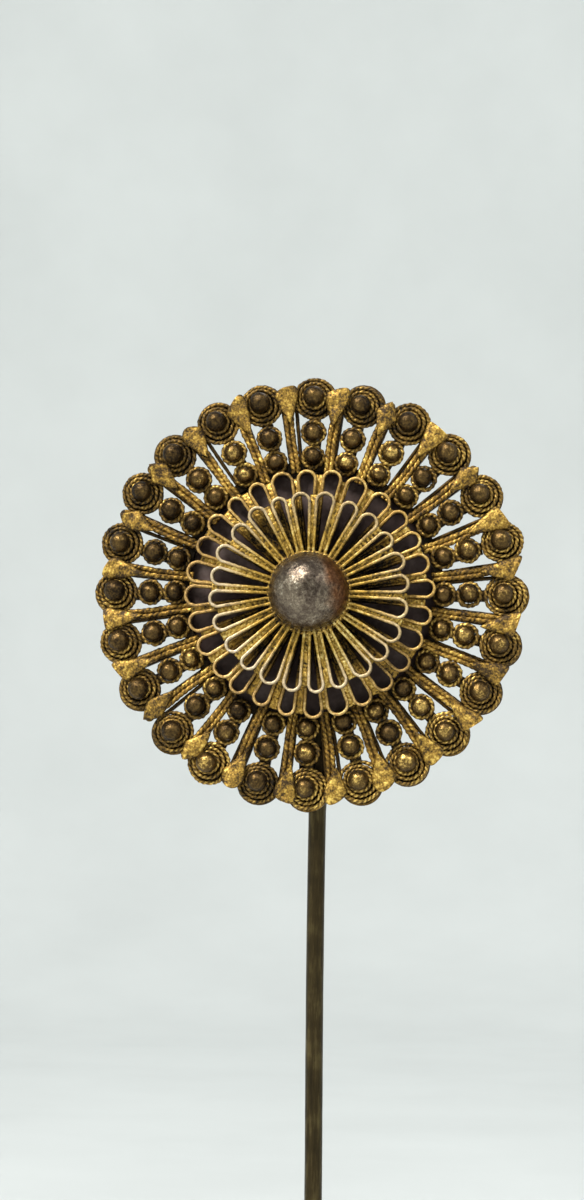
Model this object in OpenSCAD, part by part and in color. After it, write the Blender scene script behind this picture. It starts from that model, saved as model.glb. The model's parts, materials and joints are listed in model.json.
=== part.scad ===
// Hat pin with a round flower head of wire and ribbon work, set on a long pointed stem.
// The head stands upright with its face towards -Y, and the stem runs down along -Z.
// The origin is on the stem's axis, level with the lower rim of the head.

/* [Stem] */
// Length of the stem below the head, point included
stem_len = 98; // [60:1:200]
// Diameter of the round stem
stem_d = 1.7; // [1.2:0.1:3]
// Length of the tapered point
point_len = 12; // [4:1:30]
// Diameter left at the very tip
tip_d = 0.25; // [0.1:0.05:0.6]
// Width of the flattened top of the stem
tang_w = 2.4; // [1.8:0.1:4]
// Thickness of the flattened top of the stem
tang_t = 1.0; // [0.6:0.1:1.6]
// Length over which the round stem turns into the flat top
neck_len = 3; // [2:0.5:6]
// Metal around the rivet hole at the end of the flat top
eye_wall = 0.85; // [0.5:0.05:1.5]
// How far the head's centre lies to the left of the stem's axis
head_offset = 0.7; // [0:0.1:2]

/* [Head] */
// Radius over the tips of the lobes
head_r = 21; // [20.5:0.5:30]
// Number of lobes around the rim
lobes = 24; // [20:1:24]
// Share of its sector that a lobe's loop fills
lobe_fill = 0.85; // [0.8:0.01:0.88]
// Thickness of the ribbon bent into the loops
cell_ribbon_t = 0.3; // [0.2:0.05:0.4]
// Width of that ribbon, which stands on edge
cell_h = 1.0; // [0.8:0.1:1.6]
// How far the edge of the base plate stays inside the middles of the inner beads
collar_inset = 0.2; // [0.1:0.05:0.6]
// Radial width of the ring on the base plate's edge, which holds the loops' inner ends
collar_w = 0.9; // [0.6:0.1:1.2]
// Thickness of the base plate, and of the pad nearer the rim
base_t = 0.5; // [0.4:0.1:1]
// Width of the bar under each row of beads
bar_w = 1.1; // [0.6:0.1:1.3]

/* [Beads] */
// Diameter of the wire in the rings around the beads
ring_wire_d = 0.34; // [0.28:0.02:0.44]
// Diameter of the beads at the rim
rim_bead_d = 1.95; // [1.6:0.05:2.2]
// Diameter of the beads in the middle row
middle_bead_d = 1.75; // [1.3:0.05:1.9]
// Diameter of the beads in the inner row
inner_bead_d = 1.6; // [1.2:0.05:1.7]
// Angle from the ring's plane at which a rim bead rests on its seat ring
seat_angle = 28; // [20:1:40]
// Thickness of the disc that closes the back of each rim cup
rim_disc_t = 0.3; // [0.2:0.05:0.4]
// Height of that disc's front face over the back of the head
rim_disc_top = 0.8; // [0.6:0.05:0.9]
// Height of the step that lifts the seat ring
rim_step_h = 0.4; // [0.2:0.05:0.6]
// Depth of the flat that a bead is soldered on
bead_flat = 0.1; // [0.05:0.01:0.2]
// Gap between a small bead and the ring around it, and between a rim bead and the dish under it
bead_gap = 0.02; // [0.02:0.01:0.1]
// Gap between the rim cups and the middle rings
rim_to_middle = 0.35; // [0.1:0.05:0.6]
// Gap between the middle rings and the inner rings
middle_to_inner = 0.02; // [0.02:0.01:0.3]

/* [Ribs and leaves] */
// Diameter of the wire folded into each rib
rib_wire_d = 0.48; // [0.36:0.02:0.54]
// Gap between the two strands of a rib
rib_gap = 0.06; // [0.04:0.01:0.12]
// How far the inner end of a rib stands out past the ring on the base plate
rib_overhang = 0.4; // [0:0.1:0.8]
// How far the end of a rib stays inside the rim
rib_inset = 0.6; // [0.4:0.1:1]
// Width of a leaf
leaf_w = 2.2; // [1.6:0.1:2.5]
// Length of a leaf
leaf_len = 3.7; // [2.8:0.1:4.5]
// Thickness of a leaf
leaf_t = 0.28; // [0.2:0.02:0.4]
// How far the end of a leaf stays inside the rim
leaf_inset = 0.5; // [0.3:0.1:1]

/* [Rosettes] */
// Number of loops in the lower rosette
lower_loops = 28; // [24:1:28]
// Radius over the loops of the lower rosette
lower_r = 12.1; // [11:0.1:14.7]
// Number of loops in the upper rosette
upper_loops = 24; // [20:1:24]
// Radius over the loops of the upper rosette
upper_r = 9.8; // [8.5:0.1:11.8]
// Share of its sector that a rosette's loop fills
loop_fill = 0.82; // [0.78:0.01:0.88]
// Thickness of the ribbon in the rosettes
rosette_ribbon_t = 0.3; // [0.2:0.05:0.36]
// Width of that ribbon, which stands on edge
rosette_h = 0.9; // [0.6:0.1:1.2]
// Angle at which the lower rosette's loops rise outwards
lower_rise = 6; // [5:1:9]
// Angle at which the upper rosette's loops rise outwards
upper_rise = 9; // [7:1:14]
// Radius of the solid hub of each rosette
rosette_hub_r = 4.2; // [4:0.1:4.8]
// Height of the boss that lifts the lower rosette off the base plate
lower_spacer_t = 1.5; // [1.4:0.1:2.5]
// Thickness of the spacer under the upper rosette
upper_spacer_t = 0.4; // [0.3:0.1:1]

/* [Centre] */
// Diameter of the ball in the middle
ball_d = 7.6; // [6.6:0.1:7.9]
// Height of the ball's centre over the edge that it stands on
ball_lift = 0.9; // [0.3:0.1:1.5]
// Thickness of the ball's shell
ball_wall = 0.4; // [0.3:0.05:0.6]
// Thickness of the ring under the ball
ball_seat_t = 0.3; // [0.2:0.05:0.6]
// Radial width of the ring under the ball
ball_seat_w = 1.0; // [0.7:0.1:1.2]
// Diameter of the rivet through the middle
rivet_d = 1.6; // [1.2:0.1:2]
// Diameter of the rivet's head and of its burr
rivet_head_d = 3.2; // [2.6:0.1:3.8]
// Thickness of the rivet's head and of its burr
rivet_head_t = 0.5; // [0.3:0.1:0.8]
// Radial clearance of the rivet in its holes
rivet_gap = 0.04; // [0.02:0.01:0.1]
// Diameter of the washer under the burr
washer_d = 4.4; // [4:0.1:6]
// Thickness of that washer
washer_t = 0.4; // [0.3:0.1:0.8]
// Width and length of the pad between the stem and the back of the loops
pad_size = 3.2; // [3:0.1:5]

/* [Hidden] */
$fn = 48;
over = 0.5;
lap = 0.01;
head_back = base_t + stem_d / 2;
tang_turn = atan(head_offset / (head_r - neck_len));
hole_r = rivet_d / 2 + rivet_gap;

sector = 360 / lobes;
cell_angle = sector / 2 * lobe_fill;
rim_row_r = head_r / (1 + sin(cell_angle));
cup_r = rim_row_r * sin(cell_angle) - cell_ribbon_t;
ring_r = ring_wire_d / 2;
seat_r = (rim_bead_d / 2 + ring_r) * cos(seat_angle);
seat_z = rim_disc_top + rim_step_h + ring_r;
rim_bead_z = seat_z + (rim_bead_d / 2 + ring_r) * sin(seat_angle);
middle_ring_r = middle_bead_d / 2 + bead_gap + ring_r;
inner_ring_r = inner_bead_d / 2 + bead_gap + ring_r;
middle_row_r = rim_row_r - cup_r - rim_to_middle - middle_ring_r - ring_r;
inner_row_r = middle_row_r - middle_ring_r - inner_ring_r - ring_wire_d - middle_to_inner;
collar_r = inner_row_r - collar_inset;
rib_start_r = collar_r - collar_w - rib_overhang;
leaf_z = cell_h + rib_wire_d;

foot_r = rosette_hub_r - 2 * rosette_ribbon_t;
upper_z = lower_spacer_t + rosette_h + upper_spacer_t;
upper_top = upper_z + rosette_h;
ball_foot_r = sqrt(pow(ball_d / 2, 2) - pow(ball_lift, 2));
seat_out = ball_foot_r + ball_seat_w / 2 - ball_wall / 2;
seat_ring_z = upper_top + (seat_out - foot_r) * tan(upper_rise);
ball_z = seat_ring_z + ball_seat_t;
tang_z = -base_t - tang_t;

gilt = "#9a7a35";
bright_gilt = "#b9933f";
old_gold = "#8b7238";
dark_bronze = "#4a3f25";
bead_bronze = "#6d5b33";
steel = "#7d7972";

// Puts the head's own frame, with its face towards +Z and its top towards +Y, upright on the stem
module in_head() {
    translate([-head_offset, -head_back, head_r]) rotate([90, 0, 0]) children();
}

// Repeats a piece n times around the middle of the head
module around(n, turn = 0) {
    for (i = [0 : n - 1]) rotate(turn + i * 360 / n) children();
}

module wire_ring(r, wire_d) {
    rotate_extrude() translate([r, 0]) circle(d = wire_d);
}

module plate_with_hole(r, t) {
    difference() {
        cylinder(r = r, h = t);
        translate([0, 0, -over]) cylinder(r = hole_r, h = t + 2 * over);
    }
}

// A teardrop of ribbon on edge: two straight walls along radial lines and a round end.
// Each wall runs a little way into the round end, just inside both of its faces, so that they join.
module ribbon_loop(tip_r, angle, start_r, t, h) {
    centre_r = tip_r / (1 + sin(angle));
    end_r = centre_r * sin(angle);
    wall_len = centre_r * cos(angle) - start_r;
    translate([centre_r, 0, 0]) rotate(-90 - angle)
        rotate_extrude(angle = 180 + 2 * angle) translate([end_r - t, 0]) square([t, h]);
    for (side = [-1, 1]) rotate(side * angle) translate([start_r, -t / 2 - side * t / 2 + lap, 0])
        cube([wall_len + 5 * lap, t - 2 * lap, h]);
}

// A small bead with a flat at its foot, which stands at z
module bead(d, z) {
    difference() {
        translate([0, 0, z + d / 2 - bead_flat]) sphere(d = d);
        translate([-d, -d, z - d]) cube([2 * d, 2 * d, d]);
    }
}

// Loops around a hub. They hinge upwards at foot_r, so whatever lies on the hub stays inside that radius
// or clears them.
module rosette(n, tip_r, rise) {
    difference() {
        union() {
            cylinder(r = rosette_hub_r, h = rosette_h);
            around(n) translate([foot_r, 0, 0]) rotate([0, -rise, 0]) translate([-foot_r, 0, 0])
                ribbon_loop(tip_r, 180 / n * loop_fill, foot_r, rosette_ribbon_t, rosette_h);
        }
        translate([0, 0, -over]) cylinder(r = hole_r, h = rosette_h + 2 * over);
    }
}

// The frame of the stem's flat top, along -Y from the rivet hole, leaning towards the stem's axis
module along_tang() {
    in_head() translate([0, 0, tang_z]) rotate(tang_turn) children();
}

module pin_stem() {
    color(dark_bronze) {
        difference() {
            union() {
                round_stem();
                stem_neck();
                along_tang() {
                    translate([-tang_w / 2, neck_len - head_r, 0]) cube([tang_w, head_r - neck_len, tang_t]);
                    cylinder(r = hole_r + eye_wall, h = tang_t);
                }
            }
            along_tang() translate([0, 0, -over]) cylinder(r = hole_r, h = tang_t + 2 * over);
        }
    }
}

module round_stem() {
    rotate_extrude() polygon([[0, -stem_len], [tip_d / 2, -stem_len], [stem_d / 2, point_len - stem_len],
        [stem_d / 2, 0], [0, 0]]);
}

// Both ends of the neck lie just inside the surfaces that they run into
module stem_neck() {
    hull() {
        translate([0, 0, -over]) cylinder(d = stem_d - 2 * lap, h = over, $fn = 32);
        along_tang() translate([lap - tang_w / 2, neck_len - head_r, lap])
            cube([tang_w - 2 * lap, over, tang_t - 2 * lap]);
    }
}

module stem_pad() {
    color(dark_bronze) along_tang() translate([-pad_size / 2, neck_len - head_r, tang_t])
        cube([pad_size, pad_size, base_t]);
}

module back_washer() {
    color(dark_bronze) in_head() translate([0, 0, tang_z - washer_t]) plate_with_hole(washer_d / 2, washer_t);
}

module centre_rivet() {
    burr_z = tang_z - washer_t;
    color(steel) in_head() {
        translate([0, 0, burr_z]) cylinder(d = rivet_d, h = upper_top - burr_z);
        translate([0, 0, upper_top]) cylinder(d = rivet_head_d, h = rivet_head_t);
        translate([0, 0, burr_z - rivet_head_t]) cylinder(d = rivet_head_d, h = rivet_head_t);
    }
}

module base_plate() {
    color(dark_bronze) in_head() translate([0, 0, -base_t]) plate_with_hole(collar_r, base_t);
}

module cell_collar() {
    color(dark_bronze) in_head() difference() {
        cylinder(r = collar_r, h = cell_h);
        translate([0, 0, -over]) cylinder(r = collar_r - collar_w, h = cell_h + 2 * over);
    }
}

module cell_frames() {
    color(gilt) in_head() around(lobes) difference() {
        ribbon_loop(head_r, cell_angle, collar_r - over, cell_ribbon_t, cell_h);
        translate([0, 0, -over]) cylinder(r = collar_r, h = cell_h + 2 * over);
    }
}

module bead_bars() {
    bar_len = rim_row_r - cup_r - collar_r + over;
    color(dark_bronze) in_head() around(lobes) difference() {
        translate([collar_r - over, -bar_w / 2, 0]) cube([bar_len, bar_w, cell_h]);
        translate([0, 0, -over]) cylinder(r = collar_r, h = cell_h + 2 * over);
    }
}

// Each disc has a raised middle, dished to clear the bead above it
module rim_discs() {
    color(dark_bronze) in_head() around(lobes) translate([rim_row_r, 0, 0]) difference() {
        translate([0, 0, rim_disc_top - rim_disc_t]) {
            cylinder(r = cup_r, h = rim_disc_t);
            cylinder(r = seat_r, h = rim_disc_t + rim_step_h);
        }
        translate([0, 0, rim_bead_z]) sphere(d = rim_bead_d + 2 * bead_gap);
    }
}

module rim_outer_rings() {
    color(gilt) in_head() around(lobes) translate([rim_row_r, 0, rim_disc_top + ring_r])
        wire_ring(cup_r - ring_r, ring_wire_d);
}

module rim_seat_rings() {
    color(gilt) in_head() around(lobes) translate([rim_row_r, 0, seat_z]) wire_ring(seat_r, ring_wire_d);
}

module rim_beads() {
    color(bead_bronze) in_head() around(lobes) translate([rim_row_r, 0, rim_bead_z]) sphere(d = rim_bead_d);
}

module middle_rings() {
    color(gilt) in_head() around(lobes) translate([middle_row_r, 0, cell_h + ring_r])
        wire_ring(middle_ring_r, ring_wire_d);
}

module middle_beads() {
    color(bead_bronze) in_head() around(lobes) translate([middle_row_r, 0, 0]) bead(middle_bead_d, cell_h);
}

module inner_rings() {
    color(gilt) in_head() around(lobes) translate([inner_row_r, 0, cell_h + ring_r])
        wire_ring(inner_ring_r, ring_wire_d);
}

module inner_beads() {
    color(bead_bronze) in_head() around(lobes) translate([inner_row_r, 0, 0]) bead(inner_bead_d, cell_h);
}

// A wire folded double: two straight strands and a round fold at the rim
module rib() {
    fold_r = (rib_wire_d + rib_gap) / 2;
    fold_centre = head_r - rib_inset - fold_r - rib_wire_d / 2;
    for (side = [-1, 1]) translate([rib_start_r, side * fold_r, 0]) rotate([0, 90, 0])
        cylinder(d = rib_wire_d, h = fold_centre - rib_start_r);
    translate([fold_centre, 0, 0]) rotate(-90)
        rotate_extrude(angle = 180) translate([fold_r, 0]) circle(d = rib_wire_d);
}

module rib_wires() {
    color(bright_gilt) in_head() around(lobes, sector / 2) translate([0, 0, cell_h + rib_wire_d / 2]) rib();
}

module leaf() {
    round_r = leaf_w / 2;
    round_centre = head_r - leaf_inset - round_r;
    shoulder = round_r * 0.97;
    translate([round_centre, 0, 0]) cylinder(r = round_r, h = leaf_t);
    linear_extrude(leaf_t)
        polygon([[head_r - leaf_inset - leaf_len, 0], [round_centre, -shoulder], [round_centre, shoulder]]);
}

module leaves() {
    color(old_gold) in_head() around(lobes, sector / 2) translate([0, 0, leaf_z]) leaf();
}

module lower_spacer() {
    color(dark_bronze) in_head() plate_with_hole(rosette_hub_r, lower_spacer_t);
}

module lower_rosette() {
    color(bright_gilt) in_head() translate([0, 0, lower_spacer_t]) rosette(lower_loops, lower_r, lower_rise);
}

module upper_spacer() {
    color(dark_bronze) in_head() translate([0, 0, upper_z - upper_spacer_t])
        plate_with_hole(foot_r, upper_spacer_t);
}

module upper_rosette() {
    color(bright_gilt) in_head() translate([0, 0, upper_z]) rosette(upper_loops, upper_r, upper_rise);
}

module ball_seat() {
    color(gilt) in_head() translate([0, 0, seat_ring_z]) difference() {
        cylinder(r = seat_out, h = ball_seat_t);
        translate([0, 0, -over]) cylinder(r = seat_out - ball_seat_w, h = ball_seat_t + 2 * over);
    }
}

module ball_dome() {
    color(steel) in_head() translate([0, 0, ball_z]) difference() {
        translate([0, 0, ball_lift]) sphere(d = ball_d);
        translate([0, 0, ball_lift]) sphere(d = ball_d - 2 * ball_wall);
        translate([-ball_d, -ball_d, -ball_d]) cube([2 * ball_d, 2 * ball_d, ball_d]);
    }
}

pin_stem();
stem_pad();
back_washer();
centre_rivet();
base_plate();
cell_collar();
cell_frames();
bead_bars();
rim_discs();
rim_outer_rings();
rim_seat_rings();
rim_beads();
middle_rings();
middle_beads();
inner_rings();
inner_beads();
rib_wires();
leaves();
lower_spacer();
lower_rosette();
upper_spacer();
upper_rosette();
ball_seat();
ball_dome();
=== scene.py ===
"""A hat pin with a round flower head of twisted wire, ribbon loops, leaves and beads.

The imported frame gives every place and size. The head is built flat in millimetres, with its middle at
the origin, its top towards +Y and its face towards +Z, and then stands up in the frame.
"""

import json
import math
import random

import bmesh
import bpy
import numpy as np
from mathutils import Matrix, Vector


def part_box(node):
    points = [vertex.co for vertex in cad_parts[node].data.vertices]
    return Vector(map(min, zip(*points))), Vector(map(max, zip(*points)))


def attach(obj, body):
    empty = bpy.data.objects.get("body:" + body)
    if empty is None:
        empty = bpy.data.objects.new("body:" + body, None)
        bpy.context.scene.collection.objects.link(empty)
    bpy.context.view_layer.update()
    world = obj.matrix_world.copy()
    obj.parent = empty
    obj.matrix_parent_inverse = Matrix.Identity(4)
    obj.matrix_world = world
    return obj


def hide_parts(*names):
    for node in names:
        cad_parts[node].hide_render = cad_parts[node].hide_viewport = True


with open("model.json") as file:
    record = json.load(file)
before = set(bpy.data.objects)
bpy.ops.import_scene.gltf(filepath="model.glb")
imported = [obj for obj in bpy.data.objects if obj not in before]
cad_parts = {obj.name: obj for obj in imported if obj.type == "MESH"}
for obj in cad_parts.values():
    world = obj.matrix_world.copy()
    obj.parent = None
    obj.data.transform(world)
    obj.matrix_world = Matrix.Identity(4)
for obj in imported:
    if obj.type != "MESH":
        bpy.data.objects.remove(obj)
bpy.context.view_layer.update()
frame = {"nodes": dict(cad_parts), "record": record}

MM = 0.001
LOBES = 24
LOWER_LOOPS = 28
UPPER_LOOPS = 24
SECTOR = 360 / LOBES
UP = np.array([0.0, 0.0, 1.0])

# How far handmade pieces stray: a lobe's turn in degrees and its distance in mm, and a ring's tip in degrees
STRAY_TURN = 0.4
STRAY = 0.07
RING_TIP = 2.5

# Twisted wire: one full turn of the two strands, and how finely it is drawn
RING_PITCH = 0.95
RIB_PITCH = 1.1
ROPE_SIDES = 10
ROPE_STEP = 0.085


# ---------------------------------------------------------------- sizes read from the frame

def box_mm(node):
    low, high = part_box(node)
    return np.array(low) / MM, np.array(high) / MM


FRAMES_LOW, FRAMES_HIGH = box_mm("cell_frames")
HEAD_X = (FRAMES_LOW[0] + FRAMES_HIGH[0]) / 2
HEAD_Z = (FRAMES_LOW[2] + FRAMES_HIGH[2]) / 2
BACK_Y = FRAMES_HIGH[1]


def heights(node):
    """How far a node's back and front are in front of the back of the lobes."""
    low, high = box_mm(node)
    return BACK_Y - high[1], BACK_Y - low[1]


def reach(node):
    """Radius of the circle that a node's pieces fill around the middle of the head."""
    low, high = box_mm(node)
    return (high[0] - low[0]) / 2


# The flat under each bead, the hole for the rivet, and the width of the bars under the beads
BEAD_FLAT = 0.1
HOLE_R = 0.84
BAR_W = 1.1

HEAD_R = reach("cell_frames")
LOBE_H = heights("cell_frames")[1]
RIM_BEAD_R = np.ptp(heights("rim_beads")) / 2
RIM_ROW_R = reach("rim_beads") - RIM_BEAD_R
WIRE_R = np.ptp(heights("rim_outer_rings")) / 2
CUP_R = reach("rim_discs") - RIM_ROW_R
SEAT_R = reach("rim_seat_rings") - RIM_ROW_R - WIRE_R
MIDDLE_BEAD_R = (np.ptp(heights("middle_beads")) + BEAD_FLAT) / 2
MIDDLE_ROW_R = reach("middle_beads") - MIDDLE_BEAD_R
INNER_BEAD_R = (np.ptp(heights("inner_beads")) + BEAD_FLAT) / 2
INNER_ROW_R = reach("inner_beads") - INNER_BEAD_R
PLATE_R = reach("base_plate")
LOWER_R = reach("lower_rosette")
UPPER_R = reach("upper_rosette")
BALL_R = reach("ball_dome")
RIBBON_T = HEAD_R - RIM_ROW_R - CUP_R
# The rosettes' loops start from a hub that stands on the spacer under it
ROSETTE_FOOT_R = reach("upper_spacer") - 0.6


# ---------------------------------------------------------------- building meshes

class Skin:
    """Points, faces and two values for each point: how grimy or polished it is, with painted shade in
    places, and tone.
    """

    def __init__(self):
        self.points, self.faces, self.wear, self.tone = [], [], [], []
        self.count = 0

    def add(self, points, faces, wear, tone=0.0):
        points = np.asarray(points, float).reshape(-1, 3)
        size = len(points)
        self.points.append(points)
        self.faces.extend([tuple(int(i) + self.count for i in face) for face in faces])
        self.wear.append(np.broadcast_to(np.asarray(wear, float).ravel(), (size,)))
        self.tone.append(np.broadcast_to(np.asarray(tone, float).ravel(), (size,)))
        self.count += size


def ripple(points, size, seed):
    """Smooth noise from about -1 to 1, whose waves are about size long."""
    rng = np.random.RandomState(seed)
    total = np.zeros(points.shape[:-1])
    for _ in range(5):
        heading = rng.normal(size=3)
        heading *= 2 * math.pi / (np.linalg.norm(heading) * size * rng.uniform(0.7, 1.5))
        total += np.sin(points @ heading + rng.uniform(0, 6.28))
    return total / 2.6


def loft(skin, rings, wear, tone=0.0, closed=False):
    """Joins each ring of points to the next. An open row of rings is capped at both ends."""
    rows, sides = rings.shape[:2]
    index = np.arange(rows * sides).reshape(rows, sides)
    after = np.roll(index, -1, axis=1)
    quads = np.stack([index, after, np.roll(after, -1, axis=0), np.roll(index, -1, axis=0)], axis=-1)
    faces = [tuple(q) for q in (quads if closed else quads[:-1]).reshape(-1, 4)]
    if not closed:
        faces += [tuple(index[0][::-1]), tuple(index[-1])]
    skin.add(rings, faces, wear, tone)


def sides_of(path, closed):
    """For each point of a path: the level direction across it, the one upwards, and the run so far.

    The last value is the whole length.
    """
    path = np.asarray(path, float)
    ahead = np.roll(path, -1, axis=0) - np.roll(path, 1, axis=0)
    if not closed:
        ahead[0], ahead[-1] = path[1] - path[0], path[-1] - path[-2]
    across = np.cross(ahead, UP)
    across /= np.linalg.norm(across, axis=1)[:, None]
    lift = np.cross(across, ahead)
    lift /= np.linalg.norm(lift, axis=1)[:, None]
    steps = np.linalg.norm(np.diff(path, axis=0), axis=1)
    run = np.concatenate([[0], np.cumsum(steps)])
    whole = run[-1] + (np.linalg.norm(path[0] - path[-1]) if closed else 0)
    return across, lift, run, whole


def rope(skin, path, radius, pitch, phase=0.0, closed=False, wear_and_shade_scale=1.0, relief=0.4):
    """Two strands twisted together along a path. A scale multiplies how rubbed they are, evenly or for each
    point.

    Relief is the depth of the groove between the strands, as a share of the radius.
    """
    across, lift, run, whole = sides_of(path, closed)
    half_turns = max(2, round(2 * whole / pitch))
    around = np.linspace(0, 2 * math.pi, ROPE_SIDES, endpoint=False)
    loose = 0.5 * ripple(np.asarray(path), 1.6, 7)
    twist = math.pi * half_turns * run / whole + phase + (loose - loose[0] * (not closed))
    strand = np.abs(np.cos(around[None, :] - twist[:, None]))
    out = radius * (1.04 + relief * (strand ** 0.8 - 1))
    out = out * (1 + 0.10 * ripple(np.asarray(path), 0.5, int(radius * 1000)))[:, None]
    rings = np.asarray(path)[:, None] + out[..., None] * (
        np.cos(around)[None, :, None] * across[:, None] + np.sin(around)[None, :, None] * lift[:, None]
    )
    facing = 0.65 + 0.35 * np.sin(around)[None, :]
    polish = 1 + 2.3 * relief * (strand ** 1.5 - 1)
    loft(skin, rings, polish * facing * np.reshape(wear_and_shade_scale, (-1, 1)), closed=closed)


def ribbon(skin, path, thickness, height, edge_wear=1.0, tone=0.0):
    """A strip on edge along a path, which runs under its middle. Its edges are rounded over."""
    across, lift, _, _ = sides_of(path, closed=False)
    half = thickness / 2
    outline = np.array([
        (half, 0.08), (half, height * 0.5), (half, height - 0.12), (half * 0.55, height),
        (-half * 0.55, height), (-half, height - 0.12), (-half, height * 0.5), (-half, 0.08),
        (-half * 0.6, 0), (half * 0.6, 0),
    ])
    grime = np.array([0.05, 0.15, 0.6, 1.0, 1.0, 0.6, 0.15, 0.05, 0.0, 0.0])
    rings = (np.asarray(path)[:, None] + outline[None, :, :1] * across[:, None]
             + outline[None, :, 1:] * lift[:, None])
    rings = rings + 0.018 * ripple(rings, 0.45, 21)[..., None]
    wear = np.broadcast_to(grime[None, :] * edge_wear, rings.shape[:2])
    tone = np.broadcast_to(np.reshape(tone, (-1, 1)), rings.shape[:2])
    loft(skin, rings, wear, tone)


def lathe(skin, profile, steps=64, wear=0.5, rough=0.0, seed=1, middle=(0, 0)):
    """Turns a profile of (radius, height) points. It starts and ends on the axis, or closes on itself."""
    profile = np.asarray(profile, float)
    solid = profile[0, 0] == 0
    rim = profile[1:-1] if solid else profile
    angles = np.linspace(0, 2 * math.pi, steps, endpoint=False)
    rings = np.stack([
        rim[:, 0, None] * np.cos(angles), rim[:, 0, None] * np.sin(angles),
        np.broadcast_to(rim[:, 1, None], (len(rim), steps)),
    ], axis=-1)
    shift = np.array([middle[0], middle[1], 0.0])
    if rough:
        rings = rings + rough * ripple(rings + shift, 0.9, seed)[..., None] * UP
    if not solid:
        loft(skin, rings + shift, wear, closed=True)
        return
    index = np.arange(len(rim) * steps).reshape(len(rim), steps)
    after = np.roll(index, -1, axis=1)
    quads = np.stack([index[:-1], after[:-1], after[1:], index[1:]], axis=-1).reshape(-1, 4)
    first, last = len(rim) * steps, len(rim) * steps + 1
    faces = [tuple(q) for q in quads]
    faces += [(first, after[0, i], index[0, i]) for i in range(steps)]
    faces += [(last, index[-1, i], after[-1, i]) for i in range(steps)]
    poles = np.array([[0, 0, profile[0, 1]], [0, 0, profile[-1, 1]]])
    skin.add(np.concatenate([rings.reshape(-1, 3), poles]) + shift, faces, wear)


def turned(points, degrees):
    """Turns points around the middle of the head."""
    c, s = math.cos(math.radians(degrees)), math.sin(math.radians(degrees))
    x, y, z = points[..., 0], points[..., 1], points[..., 2]
    return np.stack([c * x - s * y, s * x + c * y, z], axis=-1)


def tipped(points, along_x, along_y):
    """Tips points a little out of the plane of the head's face."""
    out = np.array(points, float)
    rise_x, rise_y = math.tan(math.radians(along_x)), math.tan(math.radians(along_y))
    out[..., 2] += out[..., 0] * rise_x + out[..., 1] * rise_y
    return out


def circle(radius, z):
    steps = max(24, round(2 * math.pi * radius / ROPE_STEP))
    angles = np.linspace(0, 2 * math.pi, steps, endpoint=False)
    return np.stack([radius * np.cos(angles), radius * np.sin(angles), np.full(steps, z)], axis=-1)


def upright(points):
    """From the flat head in millimetres to the frame in metres."""
    return np.stack([HEAD_X + points[:, 0], BACK_Y - points[:, 2], HEAD_Z + points[:, 1]], axis=-1) * MM


def gilding(points, slope):
    """How much gilding is left at each place on the head: more at the lower right than at the upper left."""
    return 0.88 + slope * (points[:, 0] - points[:, 1]) / HEAD_R + 0.24 * ripple(points, 7.0, 17)


def finished(node, skin, material, place=upright, slope=0.08):
    """Makes the piece that stands for a CAD node."""
    points = np.concatenate(skin.points)
    skin.wear = [np.concatenate(skin.wear) * gilding(points, slope)]
    points = place(points)
    mesh = bpy.data.meshes.new("finished_" + node)
    mesh.from_pydata(points.tolist(), [], skin.faces)
    for name, values in (("wear", skin.wear), ("tone", skin.tone)):
        layer = mesh.attributes.new(name, "FLOAT", "POINT")
        layer.data.foreach_set("value", np.clip(np.concatenate(values), 0, 1).astype(np.float32))
    tidy = bmesh.new()
    tidy.from_mesh(mesh)
    bmesh.ops.recalc_face_normals(tidy, faces=tidy.faces)
    tidy.to_mesh(mesh)
    tidy.free()
    mesh.shade_smooth()
    mesh.materials.append(material)
    piece = bpy.data.objects.new("finished_" + node, mesh)
    bpy.context.scene.collection.objects.link(piece)
    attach(piece, "root")
    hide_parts(node)
    return piece


# ---------------------------------------------------------------- materials

def linear(red, green, blue):
    """From the 0-255 numbers that a colour is usually given in."""
    def one(v):
        v /= 255
        return v / 12.92 if v <= 0.04045 else ((v + 0.055) / 1.055) ** 2.4
    return (one(red), one(green), one(blue), 1.0)


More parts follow.
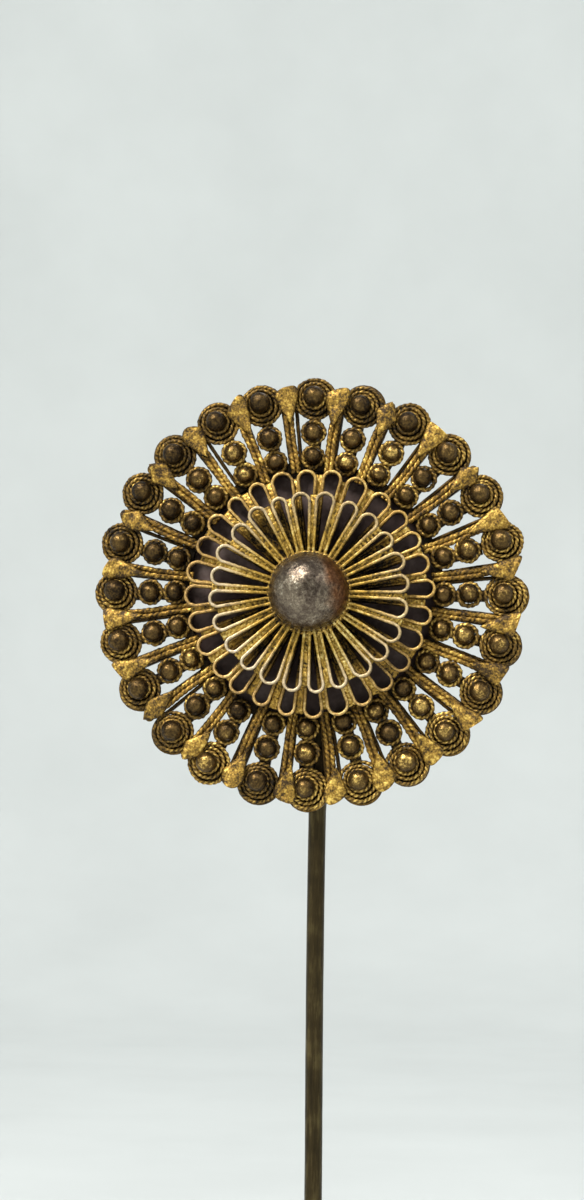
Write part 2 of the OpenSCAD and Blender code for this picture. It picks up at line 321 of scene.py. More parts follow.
class Nodes:
    """A short way to build a material's nodes."""

    def __init__(self, name):
        self.material = bpy.data.materials.new(name)
        self.material.use_nodes = True
        self.tree = self.material.node_tree
        self.shader = self.tree.nodes["Principled BSDF"]
        coordinates = self.tree.nodes.new("ShaderNodeTexCoord")
        scale = self.tree.nodes.new("ShaderNodeMapping")
        scale.inputs["Scale"].default_value = (1 / MM, 1 / MM, 1 / MM)
        self.link(coordinates.outputs["Object"], scale.inputs["Vector"])
        self.place = scale.outputs["Vector"]

    def link(self, a, b):
        self.tree.links.new(a, b)

    def noise(self, size, detail=3.0, roughness=0.55):
        """Noise from 0 to 1 with blotches about size millimetres across."""
        node = self.tree.nodes.new("ShaderNodeTexNoise")
        node.inputs["Scale"].default_value = 0.6 / size
        node.inputs["Detail"].default_value = detail
        node.inputs["Roughness"].default_value = roughness
        self.link(self.place, node.inputs["Vector"])
        return node.outputs["Fac"]

    def value(self, name):
        node = self.tree.nodes.new("ShaderNodeAttribute")
        node.attribute_name = name
        return node.outputs["Fac"]

    def math(self, operation, a, b, clamp=False):
        node = self.tree.nodes.new("ShaderNodeMath")
        node.operation = operation
        node.use_clamp = clamp
        for socket, item in zip(node.inputs, (a, b)):
            if isinstance(item, (int, float)):
                socket.default_value = item
            else:
                self.link(item, socket)
        return node.outputs["Value"]

    def ramp(self, fac, stops):
        node = self.tree.nodes.new("ShaderNodeValToRGB")
        elements = node.color_ramp.elements
        while len(elements) < len(stops):
            elements.new(0.5)
        for element, (position, colour) in zip(elements, stops):
            element.position = position
            element.color = colour
        self.link(fac, node.inputs["Fac"])
        return node.outputs["Color"]

    def mix(self, fac, a, b):
        node = self.tree.nodes.new("ShaderNodeMix")
        node.data_type = "RGBA"
        for socket, item in ((node.inputs[0], fac), (node.inputs[6], a), (node.inputs[7], b)):
            if isinstance(item, (int, float, tuple)):
                socket.default_value = item
            else:
                self.link(item, socket)
        return node.outputs[2]

    def span(self, fac, low, high):
        node = self.tree.nodes.new("ShaderNodeMapRange")
        self.link(fac, node.inputs["Value"])
        node.inputs["To Min"].default_value = low
        node.inputs["To Max"].default_value = high
        return node.outputs["Result"]

    def bump(self, height, distance):
        node = self.tree.nodes.new("ShaderNodeBump")
        node.inputs["Distance"].default_value = distance * MM
        node.inputs["Strength"].default_value = 1.0
        self.link(height, node.inputs["Height"])
        self.link(node.outputs["Normal"], self.shader.inputs["Normal"])


def worn_metal(name, grime, base, bright, rough=(0.6, 0.3), grain=0.03, patchy=0.45, metallic=0.9,
               lift=0.0, silver=None):
    """Gilded or plain metal: grime where it is sheltered, bright metal where hands have rubbed it, and dark
    painted shade where a piece carries it.
    """
    n = Nodes(name)
    fine, middle, broad = n.noise(0.12, 4), n.noise(0.5, 4), n.noise(3.5, 2)
    level = n.math("ADD", n.math("MULTIPLY", n.value("wear"), 0.66), lift)
    level = n.math("ADD", level, n.math("MULTIPLY", n.math("SUBTRACT", middle, 0.5), patchy * 2))
    level = n.math("ADD", level, n.math("MULTIPLY", n.math("SUBTRACT", fine, 0.5), patchy * 2.4))
    level = n.math("ADD", level, n.math("MULTIPLY", n.math("SUBTRACT", broad, 0.5), patchy), clamp=True)
    colour = n.ramp(level, [(0.0, grime), (0.3, tuple(0.5 * (a + b) for a, b in zip(grime, base))),
                            (0.55, base), (0.95, bright)])
    if silver:
        amount = n.math("MULTIPLY", n.value("tone"), n.math("ADD", 0.35, level), clamp=True)
        colour = n.mix(amount, colour, silver)
    n.link(colour, n.shader.inputs["Base Color"])
    n.link(n.span(level, *rough), n.shader.inputs["Roughness"])
    n.shader.inputs["Metallic"].default_value = metallic
    n.bump(n.math("ADD", fine, n.math("MULTIPLY", middle, 1.5)), grain)
    return n.material


GRIME = linear(38, 29, 17)


def ball_material():
    """Polished grey-brown steel, pitted all over, with rust down the right side."""
    n = Nodes("ball_metal")
    blotch, pit, fine = n.noise(1.1, 5), n.noise(0.22, 5, 0.75), n.noise(0.09, 3)
    level = n.math("ADD", n.math("MULTIPLY", blotch, 0.45), n.math("MULTIPLY", pit, 0.75))
    level = n.math("SUBTRACT", level, 0.12, clamp=True)
    steel = n.ramp(level, [(0.28, linear(38, 30, 28)), (0.44, linear(94, 82, 70)),
                           (0.58, linear(136, 124, 106)), (0.70, linear(232, 226, 208))])
    ragged = n.math("MULTIPLY", n.math("SUBTRACT", blotch, 0.5), 1.2)
    rusty = n.math("ADD", n.value("tone"), ragged, clamp=True)
    rust = n.ramp(pit, [(0.3, linear(58, 36, 22)), (0.5, linear(100, 66, 42)), (0.66, linear(150, 106, 72))])
    n.link(n.mix(n.ramp(rusty, [(0.3, (0, 0, 0, 1)), (0.75, (1, 1, 1, 1))]), steel, rust),
           n.shader.inputs["Base Color"])
    dull = n.math("ADD", level, n.math("MULTIPLY", rusty, 0.3))
    n.link(n.span(dull, 0.10, 0.40), n.shader.inputs["Roughness"])
    n.shader.inputs["Metallic"].default_value = 0.9
    n.bump(n.math("ADD", n.math("MULTIPLY", pit, 1.4), n.math("MULTIPLY", fine, 0.5)), 0.03)
    return n.material


def stem_material():
    """Dark olive bronze, drawn lengthways, with rubbed streaks."""
    n = Nodes("stem_metal")
    stretch = n.tree.nodes.new("ShaderNodeMapping")
    stretch.inputs["Scale"].default_value = (1, 1, 0.12)
    n.link(n.place, stretch.inputs["Vector"])
    plain, n.place = n.place, stretch.outputs["Vector"]
    streak = n.noise(0.25, 5, 0.65)
    n.place = plain
    blotch = n.noise(1.6, 4)
    level = n.math("ADD", n.math("MULTIPLY", streak, 0.6), n.math("MULTIPLY", blotch, 0.4))
    colour = n.ramp(level, [(0.32, linear(34, 27, 14)), (0.5, linear(58, 48, 27)),
                            (0.66, linear(92, 80, 50))])
    n.link(colour, n.shader.inputs["Base Color"])
    n.link(n.span(level, 0.5, 0.28), n.shader.inputs["Roughness"])
    n.shader.inputs["Metallic"].default_value = 0.85
    n.bump(n.math("ADD", streak, n.noise(0.1, 3)), 0.02)
    return n.material


def plate_material():
    """The plate behind the rosettes: smooth and dark mauve-grey, lighter and darker in blotches."""
    n = Nodes("plate_metal")
    blotch, fine = n.noise(2.2, 4), n.noise(0.3, 4)
    level = n.math("ADD", n.math("MULTIPLY", blotch, 0.7), n.math("MULTIPLY", fine, 0.3))
    colour = n.ramp(level, [(0.3, linear(50, 35, 31)), (0.5, linear(72, 55, 50)),
                            (0.7, linear(108, 92, 86))])
    n.link(colour, n.shader.inputs["Base Color"])
    n.link(n.span(level, 0.7, 0.5), n.shader.inputs["Roughness"])
    n.shader.inputs["Metallic"].default_value = 0.3
    n.bump(n.math("ADD", blotch, fine), 0.03)
    return n.material


def felt_material():
    """Dark felt for the card."""
    n = Nodes("felt")
    colour = n.ramp(n.noise(3, 4), [(0.3, linear(24, 21, 20)), (0.7, linear(34, 30, 28))])
    n.link(colour, n.shader.inputs["Base Color"])
    n.shader.inputs["Roughness"].default_value = 1.0
    n.bump(n.noise(0.8, 3), 0.2)
    return n.material


def paper_material():
    """Matt pale paper for the floor and the backdrop."""
    n = Nodes("paper")
    colour = n.ramp(n.noise(40, 3), [(0.3, linear(200, 204, 203)), (0.7, linear(206, 210, 209))])
    n.link(colour, n.shader.inputs["Base Color"])
    n.shader.inputs["Roughness"].default_value = 0.9
    n.bump(n.noise(1.5, 3), 0.02)
    return n.material


# ---------------------------------------------------------------- the head, from the rim inwards

RNG = random.Random(24)
STRAYS = [(RNG.gauss(0, STRAY_TURN), RNG.gauss(0, STRAY)) for _ in range(LOBES)]


# The raised beads and rings lean a little to the left and upwards
LEAN = np.array([-0.16, 0.17, 0.0])


def in_sector(points, index, row_r, lean=0.0):
    """Puts a small piece in its lobe's row, astray by as much as that lobe is.

    A piece without lean is turned astray only, and keeps its distance from the middle.
    """
    turn, out = STRAYS[index]
    placed = np.array(points, float)
    placed[..., 0] += row_r + out * (lean > 0)
    return turned(placed, index * SECTOR + turn) + lean * LEAN


# Points around a loop's tip, and along each of its walls
TIP_STEPS, WALL_STEPS = 34, 22


def loop_path(tip_r, angle, start_r, inset):
    """The middle of a ribbon bent into a teardrop loop that points at the middle of the head."""
    sin_a = math.sin(math.radians(angle))
    centre_r = tip_r / (1 + sin_a)
    end_r = centre_r * sin_a - inset
    bend = np.radians(np.linspace(-90 - angle, 90 + angle, TIP_STEPS))
    tip = np.stack([centre_r + end_r * np.cos(bend), end_r * np.sin(bend), np.zeros(TIP_STEPS)], axis=-1)
    corner = tip[0]
    heading = np.array([-math.cos(math.radians(angle)), math.sin(math.radians(angle)), 0])
    length = centre_r * math.cos(math.radians(angle)) - start_r
    wall = corner + heading * np.linspace(length, 0, WALL_STEPS)[:-1, None]
    mirrored = wall[::-1] * np.array([1, -1, 1])
    return np.concatenate([wall, tip, mirrored])


def make_cell_frames(material):
    skin = Skin()
    for i in range(LOBES):
        angle = SECTOR / 2 * 0.85 * RNG.uniform(0.97, 1.02)
        path = loop_path(HEAD_R, angle, PLATE_R - 0.1, RIBBON_T / 2)
        path = in_sector(path, i, 0)
        path[:, 2] += 0.03 * ripple(path, 3.0, 5)
        out = np.hypot(path[:, 0], path[:, 1])
        ribbon(skin, path, RIBBON_T * 1.15, LOBE_H * 1.05, edge_wear=0.4 + 0.4 * (out > RIM_ROW_R)[:, None])
    finished("cell_frames", skin, material)


def make_bead_bars(material):
    skin = Skin()
    for i in range(LOBES):
        run = np.linspace(PLATE_R - 0.1, RIM_ROW_R - CUP_R - 0.02, 16)
        path = np.stack([run, 0.05 * np.sin(run * 2 + i), np.zeros(16)], axis=-1)
        ribbon(skin, in_sector(path, i, 0), BAR_W, LOBE_H, edge_wear=0.45)
    finished("bead_bars", skin, material)


def make_rim_discs(material):
    low, high = heights("rim_discs")
    step = high - 0.4
    profile = [(0, low), (CUP_R - 0.05, low), (CUP_R, low + 0.06), (CUP_R, step - 0.05),
               (CUP_R - 0.08, step), (SEAT_R + 0.06, step + 0.02), (SEAT_R, step + 0.1),
               (SEAT_R - 0.03, high - 0.06), (SEAT_R - 0.1, high), (0, high)]
    skin = Skin()
    for i in range(LOBES):
        middle = in_sector(np.zeros(3), i, RIM_ROW_R)[:2]
        lathe(skin, profile, 40, wear=0.12, rough=0.02, seed=i, middle=middle)
    finished("rim_discs", skin, material)


def ring_set(node, row_r, thicker, lean):
    """The radius, height and wire of a node's rings, with the wire drawn a little thicker."""
    return reach(node) - row_r - WIRE_R, sum(heights(node)) / 2, WIRE_R * thicker, lean


def make_rings(node, row_r, sets, material):
    """Rings of twisted wire in each lobe. A set is (radius, height, wire radius, lean)."""
    skin = Skin()
    for i in range(LOBES):
        for radius, level, wire_r, lean in sets:
            path = circle(radius * RNG.uniform(0.98, 1.02), level)
            path = tipped(path, RNG.gauss(0, RING_TIP), RNG.gauss(0, RING_TIP))
            path[:, :2] += 0.03 * ripple(path, 1.6, i)[:, None]
            path = in_sector(path, i, row_r, lean)
            wear_and_shade_scale = RNG.uniform(0.72, 1.0) + 0.3 * ripple(path, 2.6, i)
            rope(skin, path, wire_r, RING_PITCH, RNG.uniform(0, 3), closed=True, wear_and_shade_scale=wear_and_shade_scale, relief=0.34)
    finished(node, skin, material, slope=0.22)


def make_beads(node, row_r, radius, foot, material, lean):
    """Cast beads, not quite round, each a little out of line, with solder flared around its foot."""
    skin = Skin()
    tilt = np.linspace(0, math.pi, 18)
    for i in range(LOBES):
        size = radius * RNG.uniform(0.98, 1.07)
        angles = np.linspace(0, 2 * math.pi, 26, endpoint=False)
        polar = np.stack([
            np.sin(tilt)[:, None] * np.cos(angles), np.sin(tilt)[:, None] * np.sin(angles),
            np.broadcast_to(np.cos(tilt)[:, None], (18, 26)),
        ], axis=-1)[1:-1]
        dent = 1 + 0.025 * ripple(polar, 1.3, 40 + i) + 0.008 * ripple(polar, 0.45, 80 + i)
        ball = polar * dent[..., None] * size
        flare = np.clip(-polar[..., 2], 0, 1) * 0.85
        spread = np.clip(-polar[..., 2] - 0.35, 0, 1)
        ball[..., :2] *= (1 / np.sqrt(1 - flare ** 2) + spread)[..., None]
        ball[..., 2] = np.maximum(ball[..., 2], BEAD_FLAT - radius) + foot + radius - BEAD_FLAT
        ball[..., :2] += np.array([RNG.gauss(0, 0.05), RNG.gauss(0, 0.06)])
        wear = 0.12 + 0.6 * np.clip(polar[..., 2], 0, 1) ** 1.5 + RNG.uniform(-0.16, 0.24)
        loft(skin, in_sector(ball, i, row_r, lean), wear)
    finished(node, skin, material, slope=0.34)


# Half the distance between the two wires of a rib
RIB_APART = 0.265


def make_rib_wires(material):
    """Each rib is one twisted wire folded double, its fold at the rim."""
    low, high = heights("rib_wires")
    wire_r = (high - low) / 2 * 1.08
    start, end = INNER_ROW_R - 1.5, HEAD_R - 0.8
    skin = Skin()
    for i in range(LOBES):
        turn = (i + 0.5) * SECTOR + RNG.gauss(0, 0.35)
        apart = RIB_APART * RNG.uniform(0.95, 1.08)
        out = np.arange(start + RNG.uniform(-0.2, 0.2), end - apart - wire_r, ROPE_STEP)
        fold = np.linspace(-90, 90, 9)[1:-1]
        bend = np.stack([out[-1] + apart * np.cos(np.radians(fold)), apart * np.sin(np.radians(fold)),
                         np.zeros(len(fold))], axis=-1)
        sway = 0.06 * np.sin(out * 0.9 + RNG.uniform(0, 6))
        near = apart * (0.82 + 0.18 * (out - start) / (end - start))
        there = np.stack([out, sway - near, np.zeros(len(out))], axis=-1)
        back = np.stack([out, sway + near, np.zeros(len(out))], axis=-1)[::-1]
        bend[:, 1] += sway[-1]
        path = np.concatenate([there, bend, back])
        path[:, 2] += (low + high) / 2 + 0.03 * ripple(path, 2.0, i)
        # A dark strip under the two wires stands in for the shade in the groove between them: painted shade.
        painted_shade_strip = np.stack([out[::6], (sway + 0 * out)[::6], np.full(len(out[::6]), low + 0.02)], axis=-1)
        ribbon(skin, turned(painted_shade_strip, turn), 2 * apart, wire_r, edge_wear=0.2)
        wear_and_shade_scale = (1 - 0.75 * (path[:, 0] > HEAD_R - 1.2)) * (0.95 + 0.3 * ripple(path, 1.3, 400 + i))
        rope(skin, turned(path, turn), wire_r, RIB_PITCH, RNG.uniform(0, 3), wear_and_shade_scale=wear_and_shade_scale, relief=0.24)
    finished("rib_wires", skin, material)


# Where a leaf is widest, as a share of its length, and how blunt its outer end is: 1 is pointed, 4 square
LEAF_KINDS = {"broad": (0.84, 5.0), "shield": (0.74, 3.2), "round": (0.64, 2.2), "lozenge": (0.62, 1.1)}
# Anticlockwise from the right
LEAF_ORDER = ("broad", "broad", "lozenge", "broad", "lozenge", "shield", "shield", "shield",
              "round", "lozenge", "lozenge", "shield", "broad", "broad", "lozenge", "lozenge",
              "round", "shield", "round", "round", "shield", "broad", "broad", "broad")


LEAF_LENGTH, LEAF_HALF = 3.7, 1.12


def leaf_outline(kind, length, half, rows):
    """Distances along a leaf, from its pointed inner end, and its half width at each."""
    shoulder, blunt = LEAF_KINDS[kind]
    inner = np.linspace(0, shoulder, rows // 2)[:-1]
    outer = 1 - (1 - shoulder) * np.linspace(1, 0, rows // 2) ** 2
    t = np.concatenate([inner, outer])
    u = np.clip((t - shoulder) / (1 - shoulder), 0, 1)
    width = np.where(t < shoulder, (t / shoulder) ** 0.85, (1 - u ** blunt) ** (1 / blunt)) * half
    return t * length, width + 0.03


def make_leaves(material):
    """Flat leaves beaten out of sheet, thin at the edges, each cut a little differently."""
    low, high = heights("leaves")
    outer = reach("leaves")
    columns = 11
    s = np.linspace(-1, 1, columns)
    skin = Skin()
    for i, kind in enumerate(LEAF_ORDER):
        length, half = LEAF_LENGTH * RNG.uniform(0.94, 1.06), LEAF_HALF * RNG.uniform(0.94, 1.08)
        along, width = leaf_outline(kind, length, half, 26)
        rows = len(along)
        skew = RNG.gauss(0, 0.28) * (along / length) ** 3
        x = (along - length)[:, None] + (skew * width)[:, None] * s
        flat = np.stack([x, width[:, None] * s, np.zeros((rows, columns))], axis=-1)
        beaten = 0.045 * ripple(flat + 7 * i, 0.8, 60 + i) + 0.02 * ripple(flat, 0.3, 90 + i)
        bowed = RNG.gauss(0, 0.07) * s - 0.06 * s ** 2
        bowed = bowed + (0.14 * RNG.gauss(0, 1) * (along / length - 0.5))[:, None]
        thick = (high - low) * np.maximum(0.4, 1 - 0.5 * np.abs(s) ** 4)
        top, under = flat.copy(), flat.copy()
        top[..., 2] = low + 0.1 + thick + beaten + bowed
        under[..., 2] = low + 0.1 + bowed
        rings = turned(np.concatenate([top, under[:, ::-1]], axis=1), RNG.gauss(0, 5))
        rings += np.array([outer - RNG.uniform(0.0, 0.25), RNG.gauss(0, 0.08), 0])
        # Rubbed in patches, with painted shade along the outermost edges, where shadow lies under the leaf's
        # rim.
        patches_and_edge_shade = 0.62 + 0.4 * ripple(flat, 0.6, 120 + i) - 0.8 * (np.abs(s) > 0.95)
        wear = np.concatenate([np.clip(patches_and_edge_shade, 0.1, 1), np.full((rows, columns), 0.15)], axis=1)
        loft(skin, turned(rings, (i + 0.5) * SECTOR + RNG.gauss(0, 0.4)), wear)
    finished("leaves", skin, material)


# A rosette's ribbon: its height, how much deeper it is at the tips, and its thickness
PETAL_H, PETAL_DEEPER, PETAL_T = 0.9, 0.35, 0.29
# The rosettes are most silvered at the lower left, degrees anticlockwise from the right
SILVER_SIDE = 215


def make_rosette(node, count, tip_r, material, turn, silvering, shaded_r=0):
    """Loops of thin ribbon on edge that rise outwards, with grainy solder between their walls.

    Inside shaded_r, under the upper rosette, they are darkened with painted shade.
    """
    low, high = heights(node)
    rise = (high - low - PETAL_H) / (tip_r - ROSETTE_FOOT_R)
    sector = 360 / count
    skin = Skin()
    hub = ROSETTE_FOOT_R + 1.1
    lathe(skin, [(0, low), (hub, low), (hub, low + PETAL_H - 0.1), (hub - 0.1, low + PETAL_H - 0.02),
                 (0, low + PETAL_H - 0.02)], 48, wear=0.4, rough=0.03, seed=3)
    for i in range(count):
        angle = sector / 2 * 0.82 * RNG.uniform(0.86, 1.12)
        path = loop_path(tip_r * RNG.uniform(0.985, 1.005), angle, ROSETTE_FOOT_R, PETAL_T / 2)
        out = np.hypot(path[:, 0], path[:, 1])
        path[:, 2] = low + rise * (out - ROSETTE_FOOT_R) + RNG.gauss(0, 0.05) * (out / tip_r) ** 2
        path[:, 1] += RNG.gauss(0, 0.06) * (out / tip_r) ** 3
        side = 0.75 + 0.25 * math.cos(math.radians(turn + i * sector - SILVER_SIDE))
        polish = np.clip((out - tip_r * 0.62) / (tip_r * 0.3), 0, 1) * silvering * side
        path = turned(path, turn + i * sector + RNG.gauss(0, 0.35))
        # Uneven rubbing along each loop, times painted shade where the upper rosette lies over it.
        wear_and_shade_scale = (0.92 + 0.12 * ripple(path, 1.2, 300 + i)) * outside_painted_shade(out, shaded_r)
        path[:, 2] -= PETAL_DEEPER * (out / tip_r) ** 2
        ribbon(skin, path, PETAL_T, PETAL_H + PETAL_DEEPER, edge_wear=wear_and_shade_scale[:, None], tone=polish)
    for i in range(count):
        solder_seam(skin, turn + (i + 0.5) * sector, sector * 0.09, tip_r, low, rise, i, shaded_r)
    finished(node, skin, material)


def outside_painted_shade(out, shaded_r):
    """Painted shade under the upper rosette: 0.2 well inside shaded_r, and 1 outside it."""
    return 0.2 + 0.8 * np.clip((out - shaded_r + 1.2) / 1.2, 0, 1)


def solder_seam(skin, turn, gap, tip_r, low, rise, seed, shaded_r):
    """The grainy fill between the walls of two loops, thinning out where they part."""
    rows = 72
    end_r = tip_r * RNG.uniform(0.92, 0.97)
    out = np.linspace(ROSETTE_FOOT_R + 0.3, end_r, rows)
    half = out * math.radians(gap) + 0.16
    s = np.linspace(-1, 1, 5)
    flat = np.stack([
        np.broadcast_to(out[:, None], (rows, 5)), half[:, None] * s, np.zeros((rows, 5)),
    ], axis=-1)
    floor = low + rise * (out - ROSETTE_FOOT_R)
    fade = 1 - ((out - out[0]) / (end_r - out[0])) ** 8
    grains = 0.06 * ripple(flat + seed, 0.32, 200 + seed)
    top, under = flat.copy(), flat.copy()
    top[..., 2] = (floor + (PETAL_H - 0.03) * fade)[:, None] + grains
    under[..., 2] = (floor + 0.1 * fade)[:, None]
    rings = np.concatenate([top, under[:, ::-1]], axis=1)
    # Grain tops brighter, with painted shade where the upper rosette lies over the seam.
    bright = np.clip(0.85 + 9 * grains, 0.2, 1) * outside_painted_shade(out, shaded_r)[:, None]
    wear = np.concatenate([bright, np.zeros((rows, 5))], axis=1)
    loft(skin, turned(rings, turn), wear)


def make_ball(material):
    """A hollow ball's visible shell, closed underneath, with shallow dents."""
    low, high = heights("ball_dome")
    centre = high - BALL_R
    foot = math.acos((low - centre) / BALL_R)
    tilt = np.linspace(0, foot, 60)
    profile = [(0, low)] + [(BALL_R * math.sin(a), centre + BALL_R * math.cos(a)) for a in tilt[::-1]]
    profile[-1] = (0, high)
    skin = Skin()
    lathe(skin, profile, 120, wear=0.5)
    points = skin.points[0]
    out = points - np.array([0, 0, centre])
    dent = 0.03 * ripple(points, 3.0, 11) + 0.012 * ripple(points, 0.8, 12)
    outwards = out / np.linalg.norm(out, axis=1)[:, None]
    skin.points[0] = points + outwards * dent[:, None] * (points[:, 2:] > low + 0.1)
    x, y = points[:, 0] / BALL_R, points[:, 1] / BALL_R
    skin.tone[0] = np.clip(1.5 * x + 0.3 * y - 0.35, 0, 1)
    finished("ball_dome", skin, material)


def make_ball_seat(material):
    """A ring of twisted wire on a flat washer."""
    low, high = heights("ball_seat")
    outer = reach("ball_seat")
    edge = outer - 0.15
    skin = Skin()
    rope(skin, circle(outer - 0.12, (low + high) / 2 + 0.03), 0.2, 0.8, closed=True)
    lathe(skin, [(outer - 1, low), (edge, low), (edge, high), (outer - 1, high)], 72, wear=0.4)
    finished("ball_seat", skin, material)


def make_base_plate(material):
    low, high = heights("base_plate")
    under = [(HOLE_R, low), (4, low), (8, low), (PLATE_R - 0.1, low), (PLATE_R, low + 0.1)]
    top = [(PLATE_R, high - 0.1), (PLATE_R - 0.1, high), (8, high), (4, high), (HOLE_R, high)]
    skin = Skin()
    lathe(skin, under + top, 128, wear=0.4, rough=0.015, seed=4)
    finished("base_plate", skin, material)


def make_back_washer(material):
    low, high = heights("back_washer")
    outer = reach("back_washer")
    rim = [(HOLE_R, low), (outer - 0.12, low), (outer, low + 0.12), (outer, high), (HOLE_R, high)]
    skin = Skin()
    lathe(skin, rim, 56, wear=0.5, rough=0.012, seed=8)
    finished("back_washer", skin, material)


def make_centre_rivet(material):
    """A shank with a hammered dome behind the washer and a flat head under the ball."""
    low, high = heights("centre_rivet")
    outer = reach("centre_rivet")
    shank = 0.8
    burr = heights("back_washer")[0]
    seat = heights("ball_seat")[0]
    tilt = np.linspace(0, math.pi / 2, 9)
    dome = [(outer * math.sin(a), burr - (burr - low) * math.cos(a)) for a in tilt]
    head = [(outer, seat), (outer, high - 0.1), (outer - 0.1, high), (0, high)]
    skin = Skin()
    lathe(skin, dome + [(shank, burr + 0.01), (shank, seat - 0.01)] + head, 48, wear=0.6, rough=0.03, seed=9)
    finished("centre_rivet", skin, material)


# ---------------------------------------------------------------- the stem and its pad

# The stem: how long its neck and its point are, its flat top's thickness and width, and the point's radius
NECK, POINT = 3.0, 12.0
FLAT_T, FLAT_W = 1.0, 2.4
POINT_R = 0.12


def make_stem(material):
    """One drawn wire: round down to the point, and beaten flat behind the head, where it ends in an eye."""
    low, high = box_mm("pin_stem")
    stem_r = stem_radius()
    eye_r = high[2] - HEAD_Z
    flat_y = BACK_Y + 0.5 + FLAT_T / 2
    down = np.concatenate([np.linspace(low[2], low[2] + POINT, 14)[:-1], np.linspace(low[2] + POINT, 0, 60)])
    up = np.linspace(0, HEAD_Z - eye_r, 30)[1:]
    over = HEAD_Z + eye_r * np.sin(np.linspace(-math.pi / 2, math.pi / 2, 22))[1:]
    z = np.concatenate([down, up, over])
    flatness = np.clip(z / NECK, 0, 1)
    flatness = flatness ** 2 * (3 - 2 * flatness)
    taper = np.clip((z - low[2]) / POINT, 0, 1)
    round_r = np.where(z < 0, POINT_R + (stem_r - POINT_R) * taper ** 0.85, stem_r)
    eye = np.sqrt(np.clip(eye_r ** 2 - (z - HEAD_Z) ** 2, 0.0004, None))
    bar = np.where(z > HEAD_Z, 0, FLAT_W / 2)
    wide = round_r * (1 - flatness) + np.maximum(bar, eye * (z > HEAD_Z - eye_r)) * flatness
    deep = round_r * (1 - flatness) + FLAT_T / 2 * flatness
    x = HEAD_X * np.clip((z - NECK) / (HEAD_Z - NECK), 0, 1) + 0.05 * np.sin(z * 0.11) * (z < 0)
    y = flat_y * flatness + 0.04 * np.sin(z * 0.09 + 1) * (z < 0)
    rings = cross_sections(x, y, z, wide, deep, 1 - 0.62 * flatness)
    rings[..., :2] += 0.008 * ripple(rings * np.array([1, 1, 0.3]), 0.8, 31)[..., None]
    skin = Skin()
    loft(skin, rings, 0.5)
    finished("pin_stem", skin, material, place=lambda points: points * MM)


def cross_sections(x, y, z, wide, deep, power):
    """Level cross-sections up a stem: round where power is 1, and squarer where it is less."""
    sides = 36
    angles = np.linspace(0, 2 * math.pi, sides, endpoint=False)
    c, s = np.cos(angles), np.sin(angles)
    return np.stack([
        x[:, None] + wide[:, None] * np.sign(c) * np.abs(c) ** power[:, None],
        y[:, None] + deep[:, None] * np.sign(s) * np.abs(s) ** power[:, None],
        np.broadcast_to(z[:, None], (len(z), sides)),
    ], axis=-1)


def stem_radius():
    """The stem's own radius, from the mount on it."""
    return next(m for m in frame["record"]["mounts"] if m["name"] == "stem")["dims"]["r_mm"]


def make_stem_pad(material):
    """A pad of solder between the stem and the backs of the loops, domed and lumpy."""
    low, high = box_mm("stem_pad")
    rows, columns = 14, 14
    u, v = np.meshgrid(np.linspace(-1, 1, rows), np.linspace(-1, 1, columns), indexing="ij")
    middle, half = (low + high) / 2, (high - low) / 2
    pull = 1 - 0.16 * (u ** 2 * v ** 2)
    flat = np.stack([
        middle[0] + half[0] * u * pull, np.zeros_like(u), middle[2] + half[2] * v * pull,
    ], axis=-1)
    lumps = 0.05 * ripple(flat, 1.1, 77)
    front, back = flat.copy(), flat.copy()
    front[..., 1] = low[1]
    back[..., 1] = high[1] + lumps - 0.2 * (u ** 4 + v ** 4)
    skin = Skin()
    loft(skin, np.concatenate([front, back[:, ::-1]], axis=1), 0.4)
    finished("stem_pad", skin, material, place=lambda points: points * MM)


# ---------------------------------------------------------------- the studio

def make_stage(material):
    """A round floor that curves up into a backdrop on every side, under the tip of the pin."""
    floor_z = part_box("pin_stem")[0][2]
    flat_r, curve_r, top = 0.75, 0.35, 1.5
    bend = np.linspace(0, math.pi / 2, 14)
    profile = [(r, 0) for r in np.linspace(0, flat_r, 8)[1:]]
    profile += [(flat_r + curve_r * math.sin(a), curve_r * (1 - math.cos(a))) for a in bend[1:]]
    profile.append((flat_r + curve_r, top))
    steps = 96
    angles = np.linspace(0, 2 * math.pi, steps, endpoint=False)
    points = [(0, 0, floor_z)]
    points += [(r * math.cos(a), r * math.sin(a), floor_z + z) for r, z in profile for a in angles]
    faces = [(0, 1 + i, 1 + (i + 1) % steps) for i in range(steps)]
    for row in range(len(profile) - 1):
        start = 1 + row * steps
        faces += [(start + i, start + steps + i, start + steps + (i + 1) % steps, start + (i + 1) % steps)
                  for i in range(steps)]
    mesh = bpy.data.meshes.new("studio_floor")
    mesh.from_pydata(points, [], faces)
    mesh.shade_smooth()
    mesh.materials.append(material)
    floor = bpy.data.objects.new("studio_floor", mesh)
    bpy.context.scene.collection.objects.link(floor)


HEAD_MIDDLE = np.array([HEAD_X, BACK_Y, HEAD_Z]) * MM


def aimed(thing, place, target, roll=0.0):
    """Points an object's -Z axis at a target, with its top upwards, and rolls it."""
    heading = Vector(target) - Vector(place)
    turn = heading.to_track_quat("-Z", "Y").to_matrix().to_4x4()
    rolled = Matrix.Rotation(math.radians(roll), 4, "Z")
    thing.matrix_world = Matrix.Translation(Vector(place)) @ turn @ rolled


def add_lamp(name, offset, size, power, colour=(1, 1, 1)):
    """A square soft lamp at an offset from the middle of the head."""
    data = bpy.data.lights.new(name, "AREA")
    data.shape = "SQUARE"
    data.size = size
    data.energy = power
    data.color = colour
    lamp = bpy.data.objects.new(name, data)
    bpy.context.scene.collection.objects.link(lamp)
    aimed(lamp, HEAD_MIDDLE + np.array(offset), HEAD_MIDDLE)


